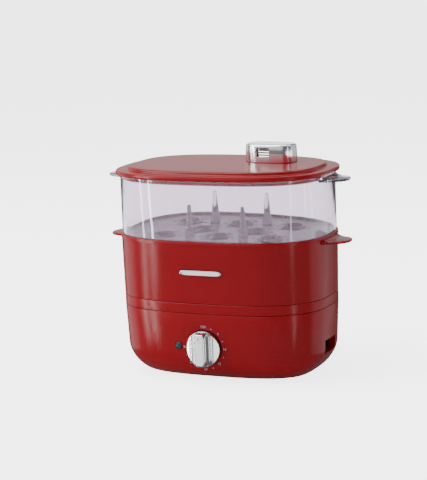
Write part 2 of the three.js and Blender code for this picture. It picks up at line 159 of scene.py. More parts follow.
# White cards flagged off everything but the chrome: two low in front for the dial and the
# badge, one beside the vent and one behind it.
front_chrome = bpy.data.collections.new("chrome in front")
vent_chrome = bpy.data.collections.new("chrome on the lid")
for card, lit in ((softbox("card_left", -21, -15, 0.7, 0.17, 0.36, 0.27), front_chrome),
                  (softbox("card_right", 28, -15, 0.7, 0.5, 0.36, 1.0), front_chrome),
                  (softbox("card_vent", 78, -12, 0.7, 1.2, 0.4, 2.9), vent_chrome),
                  (softbox("card_behind", 204, 13, 1.2, 1.2, 0.8, 3.6), vent_chrome)):
    card.light_linking.receiver_collection = lit

world = bpy.data.worlds.new("dim room")
world.use_nodes = True
world.node_tree.nodes["Background"].inputs["Color"].default_value = linear("#F2F2F4")
# Whatever is seen through the clear plastic is the brighter side of the room.
DIM_SIDE, BRIGHT_SIDE = 0.17, 0.8
rays = add_node(world.node_tree, "ShaderNodeLightPath")
room = add_node(world.node_tree, "ShaderNodeMapRange", {
    "Value": rays.outputs["Is Transmission Ray"], "To Min": DIM_SIDE,
    "To Max": BRIGHT_SIDE})
world.node_tree.links.new(room.outputs["Result"],
                          world.node_tree.nodes["Background"].inputs["Strength"])
bpy.context.scene.world = world

LENS, SIDE_SHIFT = 134.61, -0.0336
VIEW_FROM, VIEW_DISTANCE, ROLL = (23.803, 10.172), 1.79208, math.radians(-2.0751)
camera = bpy.data.objects.new("camera", bpy.data.cameras.new("camera"))
bpy.context.scene.collection.objects.link(camera)
bpy.context.scene.camera = camera
camera.data.lens, camera.data.shift_x = LENS, SIDE_SHIFT
camera.data.clip_end = 3 * FLOOR
back = direction(*VIEW_FROM)
right = Vector((0, 0, 1)).cross(back).normalized()
turned_frame = Matrix((right, back.cross(right), back)).transposed() @ Matrix.Rotation(ROLL, 3, "Z")
camera.matrix_world = Matrix.Translation(AIM + back * VIEW_DISTANCE) @ turned_frame.to_4x4()

# ---------------------------------------------------------------- base housing
# One deep injection moulding in glossy red ABS, open below. Its plan is a superellipse that
# every shell of the cooker follows, and its wall leans in to a round heel.
PLAN_MARGIN = 1.4
HALF_X = housing_high.x + PLAN_MARGIN * MM
HALF_Y = (housing_high.y - housing_low.y) / 2 + PLAN_MARGIN * MM
BODY_PLAN = (HALF_X, HALF_Y, 2.83, 2.77)
AROUND = 240


def plan_point(plan, step, around, out):
    """Point number step round the superellipse plan, moved out along the normal."""
    half_x, half_y, power_x, power_y = plan
    angle = 2 * math.pi * step / around
    even = (power_x + power_y) / 4
    turn = math.atan2(math.copysign(abs(math.sin(angle)) ** even, math.sin(angle)),
                      math.copysign(abs(math.cos(angle)) ** even, math.cos(angle)))
    c, s = math.cos(turn), math.sin(turn)
    x = half_x * math.copysign(abs(c) ** (2 / power_x), c)
    y = half_y * math.copysign(abs(s) ** (2 / power_y), s)
    normal = Vector((math.copysign(abs(x / half_x) ** (power_x - 1) / half_x, x),
                     math.copysign(abs(y / half_y) ** (power_y - 1) / half_y, y)))
    if normal.length > 0:
        normal.normalize()
    return Vector((x, y)) + normal * out


CORNER_STEPS = 4


def rounded(corners):
    """A closed section of (out, z, radius) corners in millimetres, with the corners rounded."""
    points, count = [], len(corners)
    for i, (out, z, radius) in enumerate(corners):
        here = Vector((out, z))
        if radius == 0:
            points.append(here)
            continue
        before, after = corners[i - 1], corners[(i + 1) % count]
        a, b = Vector(before[:2]) - here, Vector(after[:2]) - here
        reach = min(radius / math.tan(a.angle(b) / 2), a.length * 0.49, b.length * 0.49)
        start, end = here + a.normalized() * reach, here + b.normalized() * reach
        for k in range(CORNER_STEPS + 1):
            t = k / CORNER_STEPS
            points.append(start.lerp(here, t).lerp(here.lerp(end, t), t))
    return [(p.x, p.y) for p in points]


def bezier(*controls, steps=12):
    """Points of a cubic curve through its two ends, as (out, z) pairs."""
    knots = [Vector((c[0], c[1], 0)) for c in controls]
    return [(p.x, p.y) for p in interpolate_bezier(*knots, steps)]


SHARP_CORNER = math.radians(32)


def smooth(mesh):
    """Smooth shading that keeps the real corners crisp."""
    mesh.shade_smooth()
    mesh.set_sharp_from_angle(angle=SHARP_CORNER)


def clean(build, name):
    """Merges doubles, turns the faces outwards and returns the finished mesh."""
    bmesh.ops.remove_doubles(build, verts=build.verts, dist=1e-7)
    bmesh.ops.recalc_face_normals(build, faces=build.faces)
    mesh = bpy.data.meshes.new(name)
    build.to_mesh(mesh)
    build.free()
    smooth(mesh)
    return mesh


def join_round(build, rings, closed=False):
    """Faces from each ring of corners to the next one round. Closed rings have no loose ends."""
    for i, here in enumerate(rings):
        there = rings[(i + 1) % len(rings)]
        for j in range(len(here) if closed else len(here) - 1):
            k = (j + 1) % len(here)
            build.faces.new((here[j], there[j], there[k], here[k]))


POLE_SHARES = (0.0, 0.3, 0.6, 0.85)


def shell(name, section, plan=BODY_PLAN, around=AROUND, centre=CENTRE, pole=False):
    """Sweeps a section of (out, z) millimetres round the plan. The section closes on itself, or
    with a pole, runs in to the middle from both of its ends."""
    build = bmesh.new()
    rows = [(out, z, 1.0) for out, z in section]
    if pole:
        rows = ([(*section[0], share) for share in POLE_SHARES] + rows
                + [(*section[-1], share) for share in reversed(POLE_SHARES)])
    rings = []
    for i in range(around):
        ring = []
        for out, z, share in rows:
            flat = plan_point(plan, i, around, out * MM) * share
            ring.append(build.verts.new((flat.x + centre.x, flat.y + centre.y, z * MM)))
        rings.append(ring)
    join_round(build, rings, closed=not pole)
    return clean(build, name)


def block(low, high, radius=0.0):
    """A box between two corners in millimetres, with rounded edges."""
    build = bmesh.new()
    bmesh.ops.create_cube(build, size=1)
    low, high = Vector(low) * MM, Vector(high) * MM
    for v in build.verts:
        v.co = Vector(low[i] if v.co[i] < 0 else high[i] for i in range(3)) + CENTRE
    if radius:
        bmesh.ops.bevel(build, geom=build.edges, offset=radius * MM, segments=3,
                        affect="EDGES", profile=0.5)
    return clean(build, "block")


def turned(section, sides=64, place=Matrix.Identity(4)):
    """A lathe-turned solid: (radius, height) millimetres from axis to axis, standing on +Z."""
    build = bmesh.new()
    rings = []
    for i in range(sides):
        a = 2 * math.pi * i / sides
        rings.append([build.verts.new((r * MM * math.cos(a), r * MM * math.sin(a), h * MM))
                      for r, h in section])
    join_round(build, rings)
    mesh = clean(build, "turned")
    mesh.transform(place)
    return mesh


FRONTWARD = Matrix.Rotation(math.pi / 2, 4, "X")


def at(x, y, z):
    """A place in millimetres from the shells' axis."""
    return Matrix.Translation(CENTRE + Vector((x, y, z)) * MM)


def plain_mesh(piece):
    """The piece as it stands, with its modifiers, as a new mesh."""
    bpy.context.view_layer.update()
    graph = bpy.context.evaluated_depsgraph_get()
    return bpy.data.meshes.new_from_object(piece.evaluated_get(graph), depsgraph=graph)


def carve(mesh, *steps):
    """Joins or cuts each mesh into the first one. steps are (operation, mesh) pairs."""
    piece = put("work", mesh)
    for operation, tool_mesh in steps:
        tool = put("tool", tool_mesh)
        modifier = piece.modifiers.new("carve", "BOOLEAN")
        modifier.operation, modifier.object, modifier.solver = operation, tool, "MANIFOLD"
        made = plain_mesh(piece)
        piece.modifiers.clear()
        piece.data = made
        bpy.data.objects.remove(tool)
    mesh = piece.data
    bpy.data.objects.remove(piece)
    mesh.materials.clear()
    smooth(mesh)
    return mesh


# Red ABS, mirror-moulded: deep even colour, a clear gloss and a barely wavy skin.
red_abs, tree, place = new_material("moulded red ABS")
cloud = add_node(tree, "ShaderNodeTexNoise", {"Vector": place, "Scale": 40.0, "Detail": 3.0})
ripple = add_node(tree, "ShaderNodeTexNoise", {"Vector": place, "Scale": 260.0, "Detail": 2.0})
tint = add_node(tree, "ShaderNodeMix", {0: cloud.outputs["Fac"], 6: linear("#880813"),
                                        7: linear("#8D0914")}, data_type="RGBA")
gloss = add_node(tree, "ShaderNodeMapRange", {"Value": ripple.outputs["Fac"], "To Min": 0.2,
                                              "To Max": 0.26})
skin = add_node(tree, "ShaderNodeBump", {"Height": ripple.outputs["Fac"], "Strength": 0.02,
                                         "Distance": 0.0002})
show(tree, add_node(tree, "ShaderNodeBsdfPrincipled", {
    "Base Color": tint.outputs[2], "Roughness": gloss.outputs["Result"],
    "Normal": skin.outputs["Normal"], "IOR": 1.5, "Specular IOR Level": 0.4}))

DIAL_WALL, DIAL_Z = -70.3, 35.4
LAMP_X, LAMP_Z = -27.9, 36.3
outer_wall = bezier((-22, 2.5), (-16, 5), (-5, 15), (-3.4, 28)) + [
    (-2.4, 48.7), (-1.4, 68.9), (-1.55, 69.35), (-1.9, 69.5)]
inner_wall = [(-3.6, 69.5), (-3.8, 69.2), (-4.8, 48.7)] + bezier(
    (-5.8, 28), (-7.6, 16), (-17.5, 7), (-22, 4.9))


def rod(radius, start, end, sides, place):
    """A plain round rod, to add as a post or to cut as a hole."""
    return turned([(0, start), (radius, start), (radius, end), (0, end)], sides, place)


# Four screw posts, each on a rib from the wall.
POST_X, POST_Y, POST_RADIUS, POST_FOOT, POST_HEAD = 45, 38, 4.2, 5.7, 26
RIB_HALF, RIB_END, RIB_LOW, RIB_HIGH = 1, 61.5, 16.5, 24
in_steps = []
for side_x in (-1, 1):
    for side_y in (-1, 1):
        x, y = side_x * POST_X, side_y * POST_Y
        wall = side_y * RIB_END
        rib = block((x - RIB_HALF, min(y, wall), RIB_LOW), (x + RIB_HALF, max(y, wall), RIB_HIGH))
        post = rod(POST_RADIUS, POST_FOOT, POST_HEAD, 32, at(x, y, 0))
        in_steps += [("UNION", rib), ("UNION", post)]

# The inlet's pocket is a box inside the right wall, with the socket's hole in its back.
POCKET_BACK, POCKET_HALF, POCKET_LOW, POCKET_HIGH = 96.0, 14.0, 22.5, 36.5
POCKET_WALL, POCKET_MEETS_WALL = 2, 102.3
SOCKET_HALF, SOCKET_LOW, SOCKET_HIGH = 11.8, 23.7, 35.3
pocket_steps = [
    ("UNION", block((POCKET_BACK - POCKET_WALL, -POCKET_HALF - POCKET_WALL,
                     POCKET_LOW - POCKET_WALL),
                    (POCKET_MEETS_WALL, POCKET_HALF + POCKET_WALL, POCKET_HIGH + POCKET_WALL))),
    ("DIFFERENCE", block((POCKET_BACK, -POCKET_HALF, POCKET_LOW),
                         (120, POCKET_HALF, POCKET_HIGH), 1.4)),
    ("DIFFERENCE", block((90, -SOCKET_HALF, SOCKET_LOW), (97, SOCKET_HALF, SOCKET_HIGH)))]

# In front: a shallow seat for the dial's surround, the shaft's hole and the pilot lamp's hole,
# whose edges are broken.
SEAT_DEPTH, SEAT_RADIUS, SHAFT_HOLE, LAMP_HOLE = 0.9, 18.3, 4.5, 4.0
front_steps = [
    ("DIFFERENCE", turned([(0, 0), (SEAT_RADIUS, 0), (SEAT_RADIUS, 0.3),
                           (SEAT_RADIUS + 0.4, 0.7), (SEAT_RADIUS + 0.4, 20), (0, 20)], 96,
                          at(0, DIAL_WALL + SEAT_DEPTH, DIAL_Z) @ FRONTWARD)),
    ("DIFFERENCE", rod(SHAFT_HOLE, 0, 30, 32, at(0, -60, DIAL_Z) @ FRONTWARD)),
    ("DIFFERENCE", turned([(0, 0), (LAMP_HOLE, 0), (LAMP_HOLE, 9.1), (LAMP_HOLE + 0.6, 9.7),
                           (LAMP_HOLE + 0.6, 20), (0, 20)], 48,
                          at(LAMP_X, -60, LAMP_Z) @ FRONTWARD))]
housing_mesh = carve(shell("housing", outer_wall + inner_wall), *in_steps, *pocket_steps,
                     *front_steps)
housing = put("base_housing", housing_mesh, "root", [red_abs])
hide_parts("main_housing")

# ---------------------------------------------------------------- bottom cover, feet, screws
# A flat black ABS plate closes the base. Four turned EPDM feet are pushed through it, and four
# zinc-plated pan-head screws hold it to the housing's posts.
def new_tree(name, inputs):
    """An empty geometry node tree with these named inputs, and its input node."""
    tree = bpy.data.node_groups.new(name, "GeometryNodeTree")
    tree.interface.new_socket("Geometry", in_out="OUTPUT", socket_type="NodeSocketGeometry")
    tree.interface.new_socket("Geometry", in_out="INPUT", socket_type="NodeSocketGeometry")
    for label, kind in {**inputs, "Finish": "Material"}.items():
        tree.interface.new_socket(label, in_out="INPUT", socket_type="NodeSocket" + kind)
    return tree, add_node(tree, "NodeGroupInput").outputs


def end_tree(tree, copies, finish):
    """Closes a tree: its instances made real, then its finish set."""
    real = add_node(tree, "GeometryNodeRealizeInstances", {"Geometry": copies})
    coated = add_node(tree, "GeometryNodeSetMaterial", {"Geometry": real.outputs[0],
                                                        "Material": finish})
    add_node(tree, "NodeGroupOutput", {0: coated.outputs[0]})


def grow(tree, points, values):
    """Runs a tree on points in millimetres from the shells' axis; returns the plain mesh."""
    places = bpy.data.meshes.new("places")
    places.from_pydata([CENTRE + Vector(p) * MM for p in points], [], [])
    piece = put("growing", places)
    modifier = piece.modifiers.new(tree.name, "NODES")
    modifier.node_group = tree
    for item in tree.interface.items_tree:
        if item.in_out == "INPUT" and item.name in values:
            modifier[item.identifier] = values[item.name]
    mesh = plain_mesh(piece)
    bpy.data.objects.remove(piece)
    smooth(mesh)
    return mesh


set_out, wired = new_tree("Set Out", {"Piece": "Object", "Turn": "Vector"})
template = add_node(set_out, "GeometryNodeObjectInfo", {"Object": wired["Piece"]})
copies = add_node(set_out, "GeometryNodeInstanceOnPoints", {
    "Points": wired["Geometry"], "Instance": template.outputs["Geometry"],
    "Rotation": wired["Turn"]})
end_tree(set_out, copies.outputs[0], wired["Finish"])


def set_pieces(name, mesh, points, body, material, nodes, turn=(0, 0, 0)):
    """Copies of one small piece at these points, as one object on a body."""
    sample = put("sample", mesh)
    made = grow(set_out, points, {"Piece": sample, "Turn": turn, "Finish": material})
    bpy.data.objects.remove(sample)
    piece = put(name, made, body)
    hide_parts(*nodes)
    return piece


# Black ABS with a fine spark-eroded texture, about 0.4 mm from grain to grain.
black_abs, tree, place = new_material("textured black ABS")
spark = add_node(tree, "ShaderNodeTexNoise", {"Vector": place, "Scale": 1800.0, "Detail": 2.0})
skin = add_node(tree, "ShaderNodeBump", {"Height": spark.outputs["Fac"], "Strength": 0.25,
                                         "Distance": 0.0001})
dull = add_node(tree, "ShaderNodeMapRange", {"Value": spark.outputs["Fac"], "To Min": 0.42,
                                             "To Max": 0.6})
show(tree, add_node(tree, "ShaderNodeBsdfPrincipled", {
    "Base Color": linear("#141415"), "Roughness": dull.outputs["Result"],
    "Normal": skin.outputs["Normal"], "IOR": 1.5}))

# EPDM rubber: dead matt, with a dusty bloom in patches a few millimetres wide.
foot_rubber, tree, place = new_material("moulded EPDM rubber")
bloom = add_node(tree, "ShaderNodeTexNoise", {"Vector": place, "Scale": 300.0, "Detail": 5.0})
tint = add_node(tree, "ShaderNodeMix", {0: bloom.outputs["Fac"], 6: linear("#1D1D1E"),
                                        7: linear("#2C2C2D")}, data_type="RGBA")
show(tree, add_node(tree, "ShaderNodeBsdfPrincipled", {
    "Base Color": tint.outputs[2], "Roughness": 0.85, "IOR": 1.48}))

# Zinc-plated steel: bluish grey, its turning marks softened by the plating.
zinc_steel, tree, place = new_material("zinc-plated steel")
grain = add_node(tree, "ShaderNodeTexNoise", {"Vector": place, "Scale": 900.0, "Detail": 3.0})
rough = add_node(tree, "ShaderNodeMapRange", {"Value": grain.outputs["Fac"], "To Min": 0.22,
                                              "To Max": 0.38})
show(tree, add_node(tree, "ShaderNodeBsdfPrincipled", {
    "Base Color": linear("#B4B8BC"), "Metallic": 1.0, "Roughness": rough.outputs["Result"]}))

HEEL = -22.3
FEET = [(x, y, 0) for x in (-62, 62) for y in (-26, 26)]
COVER_SCREWS = [(x, y, 2.9) for x in (-POST_X, POST_X) for y in (-POST_Y, POST_Y)]
FOOT_HOLE, SCREW_HOLE = 3, 1.9
cover_cuts = [("DIFFERENCE", rod(FOOT_HOLE, 0, 9, 40, at(*p))) for p in FEET]
cover_cuts += [("DIFFERENCE", rod(SCREW_HOLE, -3, 6, 24, at(*p))) for p in COVER_SCREWS]
cover = put("base_cover", carve(
    shell("cover", [(HEEL, 5.4), (HEEL, 3.3), (HEEL - 0.4, 2.9)], pole=True), *cover_cuts),
    "root", [black_abs])
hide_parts("bottom_cover")

foot_section = [(0, 0), (5.9, 0), (6.5, 0.15), (6.95, 0.6), (7, 1.0), (7, 2.1), (6.7, 2.5),
                (2.6, 2.5), (2.6, 5.7), (3.6, 5.8), (3.8, 6.1), (2.2, 8.2), (1.6, 8.4), (0, 8.4)]
set_pieces("rubber_feet", turned(foot_section, 48), FEET, "root", foot_rubber,
           ["foot_front_left", "foot_front_right", "foot_back_left", "foot_back_right"])


SCREW_CORE, SCREW_CREST, SCREW_PITCH = 1.15, 1.45, 1.4


def pan_screw(length):
    """A pan-head screw, head down, with a cross recess and a coarse thread."""
    thread = []
    for turn in range(int(length / SCREW_PITCH)):
        z = 0.6 + turn * SCREW_PITCH
        thread += [(SCREW_CORE, z), (SCREW_CREST, z + SCREW_PITCH / 4),
                   (SCREW_CORE, z + SCREW_PITCH / 2)]
    head = [(0, -2), (2.2, -2), (3.0, -1.75), (3.4, -1.1), (3.4, -0.3), (SCREW_CORE, -0.3)]
    screw = turned(head + thread + [(0.3, length), (0, length)], 32)
    recess = [block((-a, -b, -3), (a, b, -1)) for a, b in ((1.6, 0.35), (0.35, 1.6))]
    for arm in recess:
        arm.transform(Matrix.Translation(-CENTRE))
    return carve(screw, *(("DIFFERENCE", arm) for arm in recess))


set_pieces("cover_screws", pan_screw(13), COVER_SCREWS, "root", zinc_steel,
           ["cover_screw_1", "cover_screw_2", "cover_screw_3", "cover_screw_4"])

# ---------------------------------------------------------------- collar, pan and heater
# A red ABS collar snaps into the housing and carries the drawn stainless boiling pan on a
# silicone gasket. Under the pan: a cast plate, its tube heater, the thermostat and the fuse.
collar_section = rounded([
    (-6.5, 65.5, 0.4), (-4.1, 65.5, 0.4), (-4.1, 69.8, 0), (-1.4, 69.8, 0.45), (-1.4, 79.4, 0.7),
    (-3.8, 79.4, 0.4), (-3.8, 76.4, 0.4), (-13, 76.4, 0.5), (-13, 74.2, 0.5), (-6.5, 74.2, 0.5)])
collar = put("collar", shell("collar", collar_section), "root", [red_abs])
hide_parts("collar_ring")

# Stainless steel, deep drawn and brushed lengthwise: streaks 0.3 mm wide and 20 mm long.
brushed_steel, tree, place = new_material("brushed stainless steel")
along = add_node(tree, "ShaderNodeMapping", {"Vector": place, "Scale": (50, 2500, 2500)})
streak = add_node(tree, "ShaderNodeTexNoise", {"Vector": along.outputs[0], "Scale": 1.0,
                                               "Detail": 3.0})
rough = add_node(tree, "ShaderNodeMapRange", {"Value": streak.outputs["Fac"], "To Min": 0.2,
                                              "To Max": 0.42})
skin = add_node(tree, "ShaderNodeBump", {"Height": streak.outputs["Fac"], "Strength": 0.15,
                                         "Distance": 0.00005})
show(tree, add_node(tree, "ShaderNodeBsdfPrincipled", {
    "Base Color": linear("#C9CBCC"), "Metallic": 1.0, "Roughness": rough.outputs["Result"],
    "Normal": skin.outputs["Normal"]}))
pan_section = (
    bezier((-25, 59.6), (-18.5, 59.6), (-14.1, 62.6), (-14, 68)) + [(-13.6, 76.7)]
    + [(-13.2, 77.4), (-12.6, 77.7), (-9.4, 77.7), (-8.6, 77.8), (-8.5, 78.1), (-8.7, 78.4)]
    + [(-9.2, 78.5), (-13.4, 78.5), (-14.1, 78.2), (-14.5, 77.4)]
    + bezier((-15, 68), (-15.1, 63.4), (-19, 60.6), (-25.4, 60.6)))
pan = put("boiling_pan_bowl", shell("pan", pan_section, pole=True), "root", [brushed_steel])
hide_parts("boiling_pan")

# Silicone: pale and soft-looking.
silicone, tree, place = new_material("moulded silicone rubber")
haze = add_node(tree, "ShaderNodeTexNoise", {"Vector": place, "Scale": 220.0})
tint = add_node(tree, "ShaderNodeMix", {0: haze.outputs["Fac"], 6: linear("#C9C3BA"),
                                        7: linear("#D8D3CB")}, data_type="RGBA")
show(tree, add_node(tree, "ShaderNodeBsdfPrincipled", {
    "Base Color": tint.outputs[2], "Roughness": 0.6, "IOR": 1.41}))

# Cast aluminium: dull grey with a sandy skin, grains about 0.8 mm.
cast_aluminium, tree, place = new_material("sand-cast aluminium")
sand = add_node(tree, "ShaderNodeTexVoronoi", {"Vector": place, "Scale": 1200.0})
skin = add_node(tree, "ShaderNodeBump", {"Height": sand.outputs["Distance"], "Strength": 0.3,
                                         "Distance": 0.0002})
show(tree, add_node(tree, "ShaderNodeBsdfPrincipled", {
    "Base Color": linear("#A7A9AB"), "Metallic": 1.0, "Roughness": 0.55,
    "Normal": skin.outputs["Normal"]}))

# Brass contact strip: rolled, with faint draw lines along its length.
rolled_brass, tree, place = new_material("rolled brass")
along = add_node(tree, "ShaderNodeMapping", {"Vector": place, "Scale": (60, 1800, 1800)})
lines = add_node(tree, "ShaderNodeTexNoise", {"Vector": along.outputs[0], "Scale": 1.0})
rough = add_node(tree, "ShaderNodeMapRange", {"Value": lines.outputs["Fac"], "To Min": 0.2,
                                              "To Max": 0.34})
show(tree, add_node(tree, "ShaderNodeBsdfPrincipled", {
    "Base Color": linear("#D3AE62"), "Metallic": 1.0, "Roughness": rough.outputs["Result"]}))

inside_finishes = {
    silicone: ["pan_gasket", "thermal_fuse", "lamp_body"],
    cast_aluminium: ["heater_plate"],
    zinc_steel: ["heater_element", "timer_bracket", "timer_screw_1", "timer_screw_2",
                 "timer_shaft"],
    black_abs: ["thermostat", "timer_body", "dial_bezel", "inlet_socket", "lead_inlet_timer",
                "lead_timer_heater", "lead_inlet_heater"],
    rolled_brass: ["inlet_pin_1", "inlet_pin_2", "inlet_pin_3"]}
for material, nodes in inside_finishes.items():
    for name in nodes:
        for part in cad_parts[name].material_slots:
            part.material = material

# ---------------------------------------------------------------- timer dial
# A chrome-plated ABS knob: a dished disc with a tall grip bar and a pointer groove, pushed on
# the timer's shaft in front of a black surround.
chrome, tree, place = new_material("chrome-plated ABS")
# Bright chrome over moulded plastic: a slightly soft mirror with a slow orange-peel wave.
wave = add_node(tree, "ShaderNodeTexNoise", {"Vector": place, "Scale": 160.0, "Detail": 1.0})
skin = add_node(tree, "ShaderNodeBump", {"Height": wave.outputs["Fac"], "Strength": 0.02,
                                         "Distance": 0.0003})
rough = add_node(tree, "ShaderNodeMapRange", {"Value": wave.outputs["Fac"], "To Min": 0.12,
                                              "To Max": 0.17})
show(tree, add_node(tree, "ShaderNodeBsdfPrincipled", {
    "Base Color": linear("#EEEFF1"), "Metallic": 1.0, "Roughness": rough.outputs["Result"],
    "Normal": skin.outputs["Normal"]}))

DIAL_RADIUS, DISC_BACK, BAR_FRONT = 17.7, -72.6, -83.7
WING_START, WING_RIDGE = 5.5, 10.7
VALLEY_HEIGHT, RIDGE_RISE, RIM_FALL = 1.7, 1.9, 2.3


def wing(x):
    """Height of the disc's face at this distance from the dial's middle line."""
    rise = min(max((abs(x) - WING_START) / (WING_RIDGE - WING_START), 0), 1)
    fall = min(max((abs(x) - WING_RIDGE) / (DIAL_RADIUS - WING_RIDGE), 0), 1)
    return VALLEY_HEIGHT + RIDGE_RISE * rise ** 1.1 - RIM_FALL * fall ** 1.15


build = bmesh.new()
DISC_SIDES, DISC_RINGS = 128, 22
rings = []
for i in range(DISC_SIDES):
    a = 2 * math.pi * i / DISC_SIDES
    c, s = math.cos(a), math.sin(a)
    ring = [(0, 0), (DIAL_RADIUS - 0.4, 0), (DIAL_RADIUS, 0.3)]
    edge = wing(DIAL_RADIUS * c)
    ring += [(DIAL_RADIUS, edge - 0.35), (DIAL_RADIUS - 0.12, edge - 0.1)]
    for k in range(DISC_RINGS + 1):
        r = (DIAL_RADIUS - 0.4) * (1 - k / DISC_RINGS)
        ring.append((r, wing(r * c)))
    rings.append([build.verts.new((r * c * MM, r * s * MM, h * MM)) for r, h in ring])
join_round(build, rings)
disc = clean(build, "disc")
disc.transform(at(0, DISC_BACK, DIAL_Z) @ FRONTWARD)
BAR_TOP = DISC_BACK - BAR_FRONT
BAR_PLAN = (6.2 * MM, 16.35 * MM, 6, 3.6)
bar_section = [(0.7, 0.4), (0.3, 4), (-0.1, BAR_TOP - 1.7), (-0.25, BAR_TOP - 1.0),
               (-0.6, BAR_TOP - 0.45), (-1.15, BAR_TOP - 0.1), (-1.8, BAR_TOP)]
bar = shell("bar", bar_section, BAR_PLAN, 144, Vector((0, 0, 0)), pole=True)
bar.transform(at(0, DISC_BACK, DIAL_Z) @ FRONTWARD)
GROOVE_HALF, GROOVE_DEPTH, GROOVE_START, GROOVE_END = 0.9, 0.9, 5.6, 13.2
groove = block((-GROOVE_HALF, BAR_FRONT - 2, DIAL_Z + GROOVE_START),
               (GROOVE_HALF, BAR_FRONT + GROOVE_DEPTH, DIAL_Z + GROOVE_END), 0.4)
SHAFT_BORE = 3.3
bore = rod(SHAFT_BORE, 0, 18, 40, at(0, -60.4, DIAL_Z) @ FRONTWARD)
dial = put("timer_dial", carve(disc, ("UNION", bar), ("DIFFERENCE", groove),
                               ("DIFFERENCE", bore)), "dial", [chrome])
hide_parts("dial_knob")

# The scale is tampo-printed in light grey ink round the dial: minutes, dots between them.
scale_ink, tree, place = new_material("light grey pad-print ink")
speck = add_node(tree, "ShaderNodeTexNoise", {"Vector": place, "Scale": 2500.0})
tint = add_node(tree, "ShaderNodeMix", {0: speck.outputs["Fac"], 6: linear("#A2939C"),
                                        7: linear("#B5A8B0")}, data_type="RGBA")
show(tree, add_node(tree, "ShaderNodeBsdfPrincipled", {
    "Base Color": tint.outputs[2], "Roughness": 0.45}))
SCALE_RADIUS, FIGURE_SIZE, INK, INK_ROOT, DOT_RADIUS = 21.2, 3.5, 0.06, 0.1, 0.5
DEGREES_PER_MINUTE, FULL_TIME, FIGURE_STEP = 9, 30, 5
WALL_FOOT_OUT, WALL_FOOT_Z, WALL_LEAN = -3.4, 28, 2.0 / 41.5


def housing_front(x, z):
    """How far forward the housing's wall stands, in metres, at x and z in metres."""
    out = WALL_FOOT_OUT * MM + (z - WALL_FOOT_Z * MM) * WALL_LEAN
    share = abs(x / BODY_PLAN[0]) ** BODY_PLAN[2]
    return CENTRE.y - BODY_PLAN[1] * (1 - share) ** (1 / BODY_PLAN[3]) - out


def laid_on_wall(mesh):
    """Presses a flat print, drawn in X and Z, on to the front wall, with its ink thickness."""
    for v in mesh.vertices:
        proud = INK * MM if v.co.y < 0 else -INK_ROOT * MM
        v.co.y = housing_front(v.co.x, v.co.z) - proud
    return mesh


def scale_point(minutes):
    """Where this many minutes stands on the scale, as millimetres in X and Z."""
    a = math.radians(minutes * DEGREES_PER_MINUTE)
    return SCALE_RADIUS * math.sin(a), DIAL_Z + SCALE_RADIUS * math.cos(a)


def figure(text, minutes):
    """One printed figure of the scale, as a mesh on the wall."""
    curve = bpy.data.curves.new("figure", "FONT")
    curve.body, curve.size = text, FIGURE_SIZE * MM
    curve.align_x, curve.align_y, curve.extrude = "CENTER", "CENTER", INK_ROOT * MM
    curve.resolution_u = 4
    drawn = put("figure", curve)
    mesh = plain_mesh(drawn)
    bpy.data.objects.remove(drawn)
    x, z = scale_point(minutes)
    mesh.transform(Matrix.Translation(Vector((x, 0, z)) * MM) @ FRONTWARD)
    return laid_on_wall(mesh)


scale_dots, wired = new_tree("Scale Dots", {"Dot Radius": "Float", "Ink": "Float"})
dot = add_node(scale_dots, "GeometryNodeMeshCylinder", {
    "Vertices": 16, "Radius": wired["Dot Radius"], "Depth": wired["Ink"]})
copies = add_node(scale_dots, "GeometryNodeInstanceOnPoints", {
    "Points": wired["Geometry"], "Instance": dot.outputs["Mesh"],
    "Rotation": (math.pi / 2, 0, 0)})
end_tree(scale_dots, copies.outputs[0], wired["Finish"])


def merged(meshes, name):
    """Several meshes as one."""
    build = bmesh.new()
    for mesh in meshes:
        build.from_mesh(mesh)
    return clean(build, name)


dots = []
for minutes in range(0, FULL_TIME, FIGURE_STEP):
    x, z = scale_point(minutes + FIGURE_STEP / 2)
    dots.append((x, -CENTRE.y / MM, z))
dot_mesh = laid_on_wall(grow(scale_dots, dots, {
    "Dot Radius": DOT_RADIUS * MM, "Ink": 2 * INK_ROOT * MM, "Finish": scale_ink}))
dot_mesh.materials.clear()
figures = [figure(str(m) if m else "OFF", m) for m in range(0, FULL_TIME + 1, FIGURE_STEP)]
for mesh in figures:
    mesh.materials.clear()
put("dial_scale", merged(figures + [dot_mesh], "scale"), "root", [scale_ink])

# ---------------------------------------------------------------- pilot lamp
# A smoked acrylic lens, pushed into the housing beside the dial, with a neon lamp behind it.
smoked_acrylic, tree, place = new_material("smoked acrylic")
# Injection moulded: dark grey and a third see-through, its face finely frosted.
frost = add_node(tree, "ShaderNodeTexNoise", {"Vector": place, "Scale": 900.0})
rough = add_node(tree, "ShaderNodeMapRange", {"Value": frost.outputs["Fac"], "To Min": 0.05,
                                              "To Max": 0.12})
show(tree, add_node(tree, "ShaderNodeBsdfPrincipled", {
    "Base Color": linear("#4A4C50"), "Roughness": rough.outputs["Result"], "IOR": 1.49,
    "Transmission Weight": 0.35}))
LAMP_RADIUS = 3.7
lens_section = [(0, 0), (LAMP_RADIUS - 0.4, 0), (LAMP_RADIUS, 0.3), (LAMP_RADIUS, 2.2),
                (3.55, 2.5), (3.2, 2.75), (2.6, 3.0), (1.8, 3.2), (0.9, 3.3), (0, 3.33)]
lens = put("pilot_lamp_lens", turned(lens_section, 64, at(LAMP_X, -66.8, LAMP_Z) @ FRONTWARD),
           "root", [smoked_acrylic])
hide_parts("pilot_lens")

# ---------------------------------------------------------------- lower tier
# A red ABS tier that stands in the collar: tapered wall with a lip, two lifting tabs, and a
# floor with egg seats, steam holes and cone posts, all in one moulding.
SEATS = [(x, y) for y in (-31, 31) for x in (-57, 0, 57)] + [(-28.5, 0), (28.5, 0)]
POSTS = [(x, y) for y in (-31, 31) for x in (-28.5, 28.5)]

